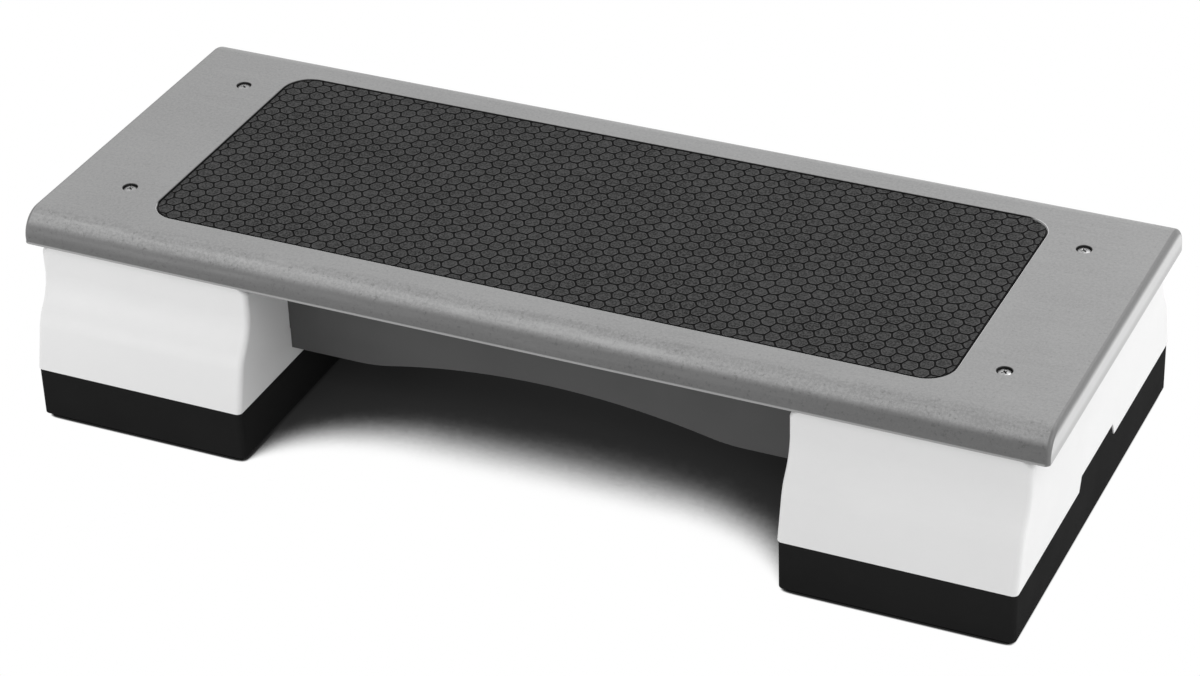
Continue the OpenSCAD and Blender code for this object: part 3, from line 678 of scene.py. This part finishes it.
class Nodes:
    """A short way to build a material's node tree."""

    def __init__(self, name):
        self.mat = bpy.data.materials.new(name)
        self.mat.use_nodes = True
        self.tree = self.mat.node_tree
        self.tree.nodes.clear()
        self.bsdf = self.new("BsdfPrincipled")
        self.link(self.bsdf.outputs[0], self.new("OutputMaterial").inputs["Surface"])
        self.coord = self.new("TexCoord")
        self.where = self.coord.outputs["Object"]

    def new(self, kind):
        return self.tree.nodes.new("ShaderNode" + kind)

    def link(self, a, b):
        self.tree.links.new(a, b)

    def put(self, socket, value):
        """Sets a socket to a number, a colour or another node's output."""
        if isinstance(value, bpy.types.NodeSocket):
            self.link(value, socket)
        elif isinstance(value, tuple):
            socket.default_value = (*value, 1)
        else:
            socket.default_value = value

    def noise(self, scale, detail, rough=0.55, stretch=None):
        """Noise of a scale per metre, in object space; stretch scales each axis first."""
        n = self.new("TexNoise")
        n.inputs["Scale"].default_value = scale
        n.inputs["Detail"].default_value = detail
        n.inputs["Roughness"].default_value = rough
        src = self.where
        if stretch:
            m = self.new("Mapping")
            m.inputs["Scale"].default_value = stretch
            self.link(src, m.inputs["Vector"])
            src = m.outputs[0]
        self.link(src, n.inputs["Vector"])
        return n.outputs["Fac"]

    def ramp(self, value, lo, hi, a=0.0, b=1.0):
        """A smooth step from a at lo to b at hi."""
        n = self.new("MapRange")
        n.interpolation_type = "SMOOTHSTEP"
        self.link(value, n.inputs["Value"])
        for key, v in (("From Min", lo), ("From Max", hi), ("To Min", a), ("To Max", b)):
            n.inputs[key].default_value = v
        return n.outputs[0]

    def math(self, op, a, b=0.0):
        n = self.new("Math")
        n.operation = op
        self.put(n.inputs[0], a)
        self.put(n.inputs[1], b)
        return n.outputs[0]

    def times(self, *values):
        """Product of masks and numbers."""
        out = values[0]
        for v in values[1:]:
            out = self.math("MULTIPLY", out, v)
        return out

    def mix(self, fac, a, b):
        n = self.new("Mix")
        n.data_type = "RGBA"
        for k, v in ((0, fac), (6, a), (7, b)):
            self.put(n.inputs[k], v)
        return n.outputs[2]

    def tint(self, colour, level, *masks):
        """The colour drawn towards a grey level as far as the product of the masks says."""
        return self.mix(self.times(*masks), colour, grey(level))

    def bump(self, height, strength, distance, normal=None):
        n = self.new("Bump")
        n.inputs["Strength"].default_value = strength
        n.inputs["Distance"].default_value = distance
        self.link(height, n.inputs["Height"])
        if normal is not None:
            self.link(normal, n.inputs["Normal"])
        return n.outputs[0]

    def xyz(self, vector):
        """The three parts of a vector."""
        n = self.new("SeparateXYZ")
        self.link(vector, n.inputs[0])
        return n.outputs

    def edge(self, radius):
        """1 near an edge of the surface, 0 on flat faces."""
        bev = self.new("Bevel")
        bev.samples = BEVEL_SAMPLES
        bev.inputs["Radius"].default_value = radius
        dot = self.new("VectorMath")
        dot.operation = "DOT_PRODUCT"
        self.link(bev.outputs[0], dot.inputs[0])
        self.link(self.new("NewGeometry").outputs["Normal"], dot.inputs[1])
        return self.ramp(dot.outputs["Value"], *EDGE_SPAN)

    def attribute(self, name):
        """A value that each face carries."""
        n = self.new("Attribute")
        n.attribute_name = name
        return n.outputs["Fac"]

    def surface(self, colour, rough, normal):
        """Joins up the surface's colour, roughness and normal, and returns the material."""
        for key, value in (("Base Color", colour), ("Roughness", rough), ("Normal", normal)):
            self.link(value, self.bsdf.inputs[key])
        return self.mat


def grey(v):
    """Linear grey of an sRGB level from 0 to 255."""
    c = v / 255
    lin = c / 12.92 if c <= 0.04045 else ((c + 0.055) / 1.055) ** 2.4
    return (lin, lin, lin)


# A noise is its scale per metre, its detail and sometimes its roughness; a span is where a ramp begins and ends
MID_SPAN, WIDE_SPAN = (0.3, 0.7), (0.25, 0.75)
# An edge is where the bevelled normal turns from the real one by these cosines
BEVEL_SAMPLES, EDGE_SPAN = 4, (0.998, 0.9)

# Plastic: noises, spans, radius in metres of a pale edge, which is a painted edge highlight and wear, strength of
# the pale edges and of flow marks, spread of roughness
PLASTIC_CLOUDS, PLASTIC_FLOW, PLASTIC_EDGE_HIGHLIGHT_WEAR = (7.0, 4.0), (38.0, 3.0), (90.0, 4.0)
PLASTIC_GLOSS, PLASTIC_DENTS, PLASTIC_GRAIN = (24.0, 5.0), (60.0, 2.0), (1500.0, 2.0, 0.6)
FLOW_STRETCH, FLOW_SPAN, EDGE_HIGHLIGHT_WEAR_SPAN = (0.35, 1.0, 1.0), (0.32, 0.68), (0.38, 0.66)
EDGE_HIGHLIGHT_WEAR_R, EDGE_HIGHLIGHT_WEAR_AMOUNT, FLOW_AMOUNT = 0.0011, 0.45, 0.35
ROUGH_BELOW, ROUGH_ABOVE = 0.05, 0.06
# Plastic: strength and depth in metres of the dents' bump, and depth of the grain's
PLASTIC_DENT_BUMP, PLASTIC_GRAIN_DEPTH = (0.06, 0.0006), 0.00025

# Deck: noises, and spans of the noise that show
DECK_CLOUDS, SPECKLES, FLECKS = (9.0, 6.0, 0.6), (380.0, 2.5, 0.75), (260.0, 2.5, 0.75)
STREAKS, STREAK_STRETCH = (85.0, 4.0, 0.65), (0.1, 1.0, 1.0)
DECK_GLOSS, DECK_DENTS, DECK_GRAIN = (18.0, 5.0), (45.0, 2.0), (620.0, 2.0, 0.7)
SPECKLE_SPAN, FLECK_SPAN = (0.36, 0.66), (0.55, 0.72)
STREAK_PALE_SPAN, STREAK_DARK_SPAN, LIP_STREAK_SPAN = (0.52, 0.72), (0.46, 0.28), (0.5, 0.7)
# Deck: spans of the normal's part along Y, and along X for the ends
NOSE_SPAN, SHOULDER_IN, SHOULDER_OUT = (0.02, 0.3), (0.08, 0.28), (0.56, 0.42)
LIP_SPAN, BEAD_SPAN = (0.73, 0.91), (0.2, 0.4)
ROUNDING_SPAN, END_SPAN = (0.05, 0.4), (0.975, 0.999)
CUT_RIM_IN, CUT_RIM_OUT = (0.1, 0.35), (0.999, 0.9)
# Deck: roughness, specular level, and strength and depth in metres of the bumps
DECK_ROUGH, DECK_SPEC = (0.32, 0.42), 0.4
DECK_DENT_BUMP, DECK_GRAIN_BUMP = (0.05, 0.0006), (0.3, 0.0003)
# Deck: grey levels, with painted shade on the nose's shoulder, the lip, the end's rounding and the walls of the
# cuts, and painted light on the bead, the end face and the recess's rim
BASE_DARK, BASE_PALE, SPECKLE, FLECK = 134, 141, 157, 112
STREAK_PALE, STREAK_DARK, SHOULDER_SHADE = 164, 118, 118
LIP_SHADE, LIP_SHADED_FLECK, LIP_SHADED_STREAK, BEAD_HIGHLIGHT = 86, 70, 108, 150
END_ROUNDING_SHADE, END_LIGHT, END_FOOT_LIGHT, CUT_WALL_SHADE, CUT_RIM_HIGHLIGHT = 98, 189, 167, 36, 222
# Deck: how strongly the painted shade on the shoulder, the lip and the end's rounding is tinted, and the lip's
# shaded flecks and streaks
SHOULDER_AMOUNT, LIP_AMOUNT, ROUNDING_AMOUNT = 0.16, 0.85, 0.85
LIP_FLECK_AMOUNT, LIP_STREAK_AMOUNT = 0.45, 0.35
# Deck: amount of grain and of streaks, on the top and on the nose
GRAIN_TOP, GRAIN_NOSE, STREAK_TOP, STREAK_NOSE = 0.42, 0.75, 0.12, 0.5
# Deck: heights and places in metres between which a zone begins
END_TOP_Z, END_FOOT_Z, BEAD_Z = (0.1958, 0.1885), (0.1815, 0.1735), (0.1731, 0.1716)
CUT_LOW_Z, CUT_TOP_Z = (0.1950, 0.1955), (0.19975, 0.1994)
CUTS_X, CUTS_Y, RECESS_X = (0.484, 0.482), (0.160, 0.158), (0.392, 0.390)

# Mat: noises, span of the pebbles, roughness, specular level and bump
MAT_DUST, MAT_PEBBLES, MAT_GLOSS, MAT_SKIN = (9.0, 4.0), (560.0, 2.0, 0.8), (70.0, 4.0), (1300.0, 2.0)
PEBBLE_SPAN, MAT_ROUGH, MAT_SPEC, MAT_BUMP = (0.42, 0.60), (0.62, 0.8), 0.12, (0.5, 0.0004)
# Mat: grey levels, with a painted highlight on the tile rims and painted shade in the grooves, amounts, and depths
# in metres at which a groove's painted shade begins and is full
TILE_DARK, TILE_PALE, DUST, PEBBLE, TILE_RIM_HIGHLIGHT, GROOVE_SHADE = 24, 33, 64, 73, 94, 9
DUST_AMOUNT, PEBBLE_AMOUNT, RIM_HIGHLIGHT_AMOUNT = 0.3, 0.9, 0.5
GROOVE_DEPTHS = (0.0002, 0.0005)

# Turned metal: noises, stretch and span of the scratches, roughness and bump
METAL_SCRATCHES, METAL_GLOSS, METAL_RINGS = (700.0, 3.0), (260.0, 3.0), (1800.0, 2.0)
SCRATCH_STRETCH, SCRATCH_SPAN = (1.0, 0.08, 1.0), (0.4, 0.7)
METAL_ROUGH, METAL_BUMP = (0.3, 0.48), (0.15, 0.0002)
# Turned metal: painted shade in the hollows, with its reach in metres, samples, span of openness and grey level
HOLLOW_REACH, HOLLOW_SAMPLES, HOLLOW_SPAN, HOLLOW_SHADE = 0.0016, 8, (0.85, 0.6), 24


def plastic(name, tone, spread, rough, grain, edge_highlight_and_wear, spec):
    """Moulded plastic: fine grain, faint clouding, uneven gloss and paler edges, which are a painted edge
    highlight and wear.
    """
    m = Nodes(name)
    clouds = m.ramp(m.noise(*PLASTIC_CLOUDS), *MID_SPAN)
    flow = m.ramp(m.noise(*PLASTIC_FLOW, stretch=FLOW_STRETCH), *FLOW_SPAN)
    colour = m.mix(clouds, grey(tone - spread), grey(tone + spread))
    colour = m.tint(colour, tone + 0.5 * spread, flow, FLOW_AMOUNT)
    # paler edges in patches: a painted edge highlight, and wear
    patches = m.ramp(m.noise(*PLASTIC_EDGE_HIGHLIGHT_WEAR), *EDGE_HIGHLIGHT_WEAR_SPAN)
    colour = m.tint(colour, edge_highlight_and_wear, m.edge(EDGE_HIGHLIGHT_WEAR_R), patches, EDGE_HIGHLIGHT_WEAR_AMOUNT)
    m.bsdf.inputs["Specular IOR Level"].default_value = spec
    gloss = m.ramp(m.noise(*PLASTIC_GLOSS), *WIDE_SPAN, rough - ROUGH_BELOW, rough + ROUGH_ABOVE)
    dents = m.bump(m.noise(*PLASTIC_DENTS), *PLASTIC_DENT_BUMP)
    return m.surface(colour, gloss, m.bump(m.noise(*PLASTIC_GRAIN), grain, PLASTIC_GRAIN_DEPTH, dents))


def deck_plastic(name):
    """Silver-grey moulded plastic: speckled grain, painted shade on the lip and the end roundings, and painted
    light on the bead and the ends.
    """
    m = Nodes(name)
    normal_x, normal_y, _ = m.xyz(m.coord.outputs["Normal"])
    x, y, z = m.xyz(m.where)
    nx, ny = m.math("ABSOLUTE", normal_x), m.math("ABSOLUTE", normal_y)
    colour = m.mix(m.ramp(m.noise(*DECK_CLOUDS), *MID_SPAN), grey(BASE_DARK), grey(BASE_PALE))

    # grain and streaks, which are stronger on the nose than on the top
    grain = m.ramp(ny, *NOSE_SPAN, GRAIN_TOP, GRAIN_NOSE)
    colour = m.tint(colour, SPECKLE, m.ramp(m.noise(*SPECKLES), *SPECKLE_SPAN), grain)
    fleck = m.ramp(m.noise(*FLECKS), *FLECK_SPAN)
    colour = m.tint(colour, FLECK, fleck, grain)
    streak = m.noise(*STREAKS, stretch=STREAK_STRETCH)
    on_nose = m.ramp(ny, *NOSE_SPAN, STREAK_TOP, STREAK_NOSE)
    colour = m.tint(colour, STREAK_PALE, m.ramp(streak, *STREAK_PALE_SPAN), on_nose)
    colour = m.tint(colour, STREAK_DARK, m.ramp(streak, *STREAK_DARK_SPAN), on_nose)

    # painted shade on the shoulder of the nose and on the lip below it, with shaded copies of the flecks and
    # streaks there, and a painted highlight on the bead under the lip
    shoulder = m.times(m.ramp(ny, *SHOULDER_IN), m.ramp(ny, *SHOULDER_OUT))
    on_lip = m.ramp(ny, *LIP_SPAN)
    colour = m.tint(colour, SHOULDER_SHADE, shoulder, SHOULDER_AMOUNT)
    colour = m.tint(colour, LIP_SHADE, on_lip, LIP_AMOUNT)
    colour = m.tint(colour, LIP_SHADED_FLECK, fleck, on_lip, LIP_FLECK_AMOUNT)
    colour = m.tint(colour, LIP_SHADED_STREAK, m.ramp(streak, *LIP_STREAK_SPAN), on_lip, LIP_STREAK_AMOUNT)
    colour = m.tint(colour, BEAD_HIGHLIGHT, m.ramp(z, *BEAD_Z), m.ramp(ny, *BEAD_SPAN))

    # painted shade on the rounding at each end, and painted light on the end face, dimmer towards its foot
    colour = m.tint(colour, END_ROUNDING_SHADE, m.ramp(nx, *ROUNDING_SPAN), ROUNDING_AMOUNT)
    end = m.times(m.ramp(nx, *END_SPAN), m.ramp(z, *END_TOP_Z))
    colour = m.mix(end, colour, m.mix(m.ramp(z, *END_FOOT_Z), grey(END_LIGHT), grey(END_FOOT_LIGHT)))

    # painted shade on the walls of the screw pockets and of the mat's recess, and a painted highlight on the
    # recess's rim where it faces left or back
    far_x, far_y = m.math("ABSOLUTE", x), m.math("ABSOLUTE", y)
    inside = m.times(m.ramp(far_x, *CUTS_X), m.ramp(far_y, *CUTS_Y), m.ramp(z, *CUT_LOW_Z))
    away = m.math("MAXIMUM", m.times(normal_x, -1.0), normal_y)
    colour = m.tint(colour, CUT_WALL_SHADE, inside, m.ramp(z, *CUT_TOP_Z))
    rim = m.times(m.ramp(away, *CUT_RIM_IN), m.ramp(away, *CUT_RIM_OUT))
    colour = m.tint(colour, CUT_RIM_HIGHLIGHT, inside, m.ramp(far_x, *RECESS_X), rim)

    m.bsdf.inputs["Specular IOR Level"].default_value = DECK_SPEC
    gloss = m.ramp(m.noise(*DECK_GLOSS), *WIDE_SPAN, *DECK_ROUGH)
    dents = m.bump(m.noise(*DECK_DENTS), *DECK_DENT_BUMP)
    return m.surface(colour, gloss, m.bump(m.noise(*DECK_GRAIN), *DECK_GRAIN_BUMP, dents))


def rubber_mat(name):
    """Tread rubber: tiles a touch lighter or darker, a fine pebbled skin, a painted highlight on the rims and
    painted shade in the grooves.
    """
    m = Nodes(name)
    top = (MAT_FLOOR + MAT_THICK) * MM
    colour = m.mix(m.attribute("tone"), grey(TILE_DARK), grey(TILE_PALE))
    colour = m.tint(colour, DUST, m.ramp(m.noise(*MAT_DUST), *MID_SPAN), DUST_AMOUNT)
    colour = m.tint(colour, PEBBLE, m.ramp(m.noise(*MAT_PEBBLES), *PEBBLE_SPAN), PEBBLE_AMOUNT)
    # a painted highlight on each tile's rim, then painted shade in the grooves by depth
    colour = m.tint(colour, TILE_RIM_HIGHLIGHT, m.attribute("rim"), RIM_HIGHLIGHT_AMOUNT)
    colour = m.tint(colour, GROOVE_SHADE, m.ramp(m.xyz(m.where)[2], *[top - d for d in GROOVE_DEPTHS]))
    m.bsdf.inputs["Specular IOR Level"].default_value = MAT_SPEC
    gloss = m.ramp(m.noise(*MAT_GLOSS), *MID_SPAN, *MAT_ROUGH)
    return m.surface(colour, gloss, m.bump(m.noise(*MAT_SKIN), *MAT_BUMP))


def turned_metal(name, dull, bright):
    """Turned metal with fine rings and light scratches, and painted shade in its hollows."""
    m = Nodes(name)
    scratch = m.ramp(m.noise(*METAL_SCRATCHES, stretch=SCRATCH_STRETCH), *SCRATCH_SPAN)
    # painted shade where the surface is hemmed in
    hollow = m.new("AmbientOcclusion")
    hollow.samples = HOLLOW_SAMPLES
    hollow.inputs["Distance"].default_value = HOLLOW_REACH
    deep = m.ramp(hollow.outputs["AO"], *HOLLOW_SPAN)
    m.bsdf.inputs["Metallic"].default_value = 1.0
    colour = m.tint(m.mix(scratch, dull, bright), HOLLOW_SHADE, deep)
    gloss = m.ramp(m.noise(*METAL_GLOSS), *MID_SPAN, *METAL_ROUGH)
    return m.surface(colour, gloss, m.bump(m.noise(*METAL_RINGS), *METAL_BUMP))


finish = {
    "deck_grey": deck_plastic("deck_plastic"),
    "mat_rubber": rubber_mat("tread_rubber"),
    "leg_white": plastic("leg_plastic", tone=223, spread=2.0, rough=0.4, grain=0.18, edge_highlight_and_wear=233, spec=0.3),
    "beam_grey": plastic("beam_plastic", tone=83, spread=2.5, rough=0.6, grain=0.35, edge_highlight_and_wear=96, spec=0.15),
    "riser_black": plastic("riser_plastic", tone=33, spread=2.0, rough=0.62, grain=0.4, edge_highlight_and_wear=46, spec=0.003),
    "foot_rubber": plastic("foot_rubber_skin", tone=12, spread=2.0, rough=0.85, grain=0.6, edge_highlight_and_wear=18,
                           spec=0.01),
    "screw_steel": turned_metal("screw_steel_skin", grey(160), grey(182)),
    "insert_brass": turned_metal("insert_metal_skin", (0.55, 0.38, 0.12), (0.72, 0.52, 0.2)),
}

for piece, _, _, slot in PIECES:
    piece.data.materials.clear()
    piece.data.materials.append(finish[slot])

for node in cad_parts:
    for s in bpy.data.objects[node].material_slots:
        slot = s.material.name.split(".")[0] if s.material else None
        if slot in finish:
            s.material = finish[slot]

# ---------------------------------------------------------------- floor, world and lights

FLOOR_HALF, FLOOR_GREY = 9000, 0.86
# The floor's painted shadow, drawn from how open the floor is: reach in metres, samples, and the span of openness
# over which it clears to white
SHADOW_REACH, SHADOW_SAMPLES, SHADOW_SPAN = 0.4, 96, (0.235, 0.405)
# Its darkest tint, from where the floor is least open to where it is a little more open
CORE_SPAN, CORE_TINT = (0.08, 0.22), (0.007, 0.022)
WORLD_FILL = 0.7
# Soft box lights: name, place, aim, size in metres and power in watts
LAMPS = (("key", (1.1, 0.8, 1.35), (0.3, 0.1, 0.2), (1.2, 1.0), 11.0),
         ("strip", (-0.95, -0.85, 1.95), (-0.3, -0.18, 0.19), (1.3, 0.22), 8.5),
         ("front", (-1.5, -1.6, 0.4), (-0.2, -0.2, 0.1), (1.6, 0.5), 7.1),
         ("side", (3.4, -0.1, 1.2), (0.2, 0, 0.1), (2.2, 1.8), 29))


def maximum(tree, a, b):
    """The greater of two values."""
    n = tree.nodes.new("ShaderNodeMath")
    n.operation = "MAXIMUM"
    tree.links.new(a, n.inputs[0])
    tree.links.new(b, n.inputs[1])
    return n.outputs[0]


def map_range(tree, value, span, to):
    """A node that maps a span of a value to another."""
    n = tree.nodes.new("ShaderNodeMapRange")
    tree.links.new(value, n.inputs["Value"])
    n.inputs["From Min"].default_value, n.inputs["From Max"].default_value = span
    n.inputs["To Min"].default_value, n.inputs["To Max"].default_value = to
    return n


def shader(tree, kind, **values):
    """A shader node with some of its sockets set."""
    n = tree.nodes.new(kind)
    for key, value in values.items():
        n.inputs[key].default_value = value
    return n


def by_ray(tree, output, lit, seen):
    """Shows seen to the camera and in reflections and glass, and lit to all other rays."""
    path = tree.nodes.new("ShaderNodeLightPath").outputs
    mixer = tree.nodes.new("ShaderNodeMixShader")
    mirrored = maximum(tree, path["Is Glossy Ray"], path["Is Transmission Ray"])
    tree.links.new(maximum(tree, path["Is Camera Ray"], mirrored), mixer.inputs[0])
    tree.links.new(lit.outputs[0], mixer.inputs[1])
    tree.links.new(seen.outputs[0], mixer.inputs[2])
    tree.links.new(mixer.outputs[0], tree.nodes.new(output).inputs["Surface"])


def make_floor():
    """A plain pale floor that the camera sees the white world through, darkened by a painted shadow drawn from how
    open the floor is.
    """
    bm = bmesh.new()
    bmesh.ops.create_grid(bm, x_segments=1, y_segments=1, size=FLOOR_HALF)
    floor = add_object("floor", bm)
    paper = bpy.data.materials.new("floor_paper")
    paper.use_nodes = True
    t = paper.node_tree
    t.nodes.clear()
    ao = t.nodes.new("ShaderNodeAmbientOcclusion")
    ao.inputs["Distance"].default_value = SHADOW_REACH
    ao.samples = SHADOW_SAMPLES
    shadow = map_range(t, ao.outputs["AO"], SHADOW_SPAN, (0.0, 1.0))
    shadow.interpolation_type = "SMOOTHSTEP"
    core = map_range(t, ao.outputs["AO"], CORE_SPAN, CORE_TINT)
    t.links.new(core.outputs[0], shadow.inputs["To Min"])
    # seen from below, the floor is clear and has no shadow
    below = t.nodes.new("ShaderNodeNewGeometry").outputs["Backfacing"]
    clear = t.nodes.new("ShaderNodeBsdfTransparent")
    t.links.new(maximum(t, shadow.outputs[0], below), clear.inputs["Color"])
    plain = shader(t, "ShaderNodeBsdfDiffuse", Color=(FLOOR_GREY, FLOOR_GREY, FLOOR_GREY, 1))
    by_ray(t, "ShaderNodeOutputMaterial", plain, clear)
    floor.data.materials.append(paper)


def make_world():
    """White to the camera, a dim even fill for the light that reaches the object."""
    world = bpy.data.worlds.new("studio")
    bpy.context.scene.world = world
    world.use_nodes = True
    t = world.node_tree
    t.nodes.clear()
    by_ray(t, "ShaderNodeOutputWorld",
           shader(t, "ShaderNodeBackground", Color=(1, 1, 1, 1), Strength=WORLD_FILL),
           shader(t, "ShaderNodeBackground", Color=(1, 1, 1, 1), Strength=1.0))


def lamp(name, place, aim, size, power):
    """A soft box light."""
    data = bpy.data.lights.new(name, "AREA")
    data.shape = "RECTANGLE"
    data.size, data.size_y = size
    data.energy = power
    obj = bpy.data.objects.new(name, data)
    obj.location = place
    obj.rotation_mode = "QUATERNION"
    obj.rotation_quaternion = (Vector(place) - Vector(aim)).to_track_quat("Z", "Y")
    bpy.context.scene.collection.objects.link(obj)


make_floor()
make_world()
for entry in LAMPS:
    lamp(*entry)

view = bpy.context.scene.view_settings
view.view_transform = "Standard"
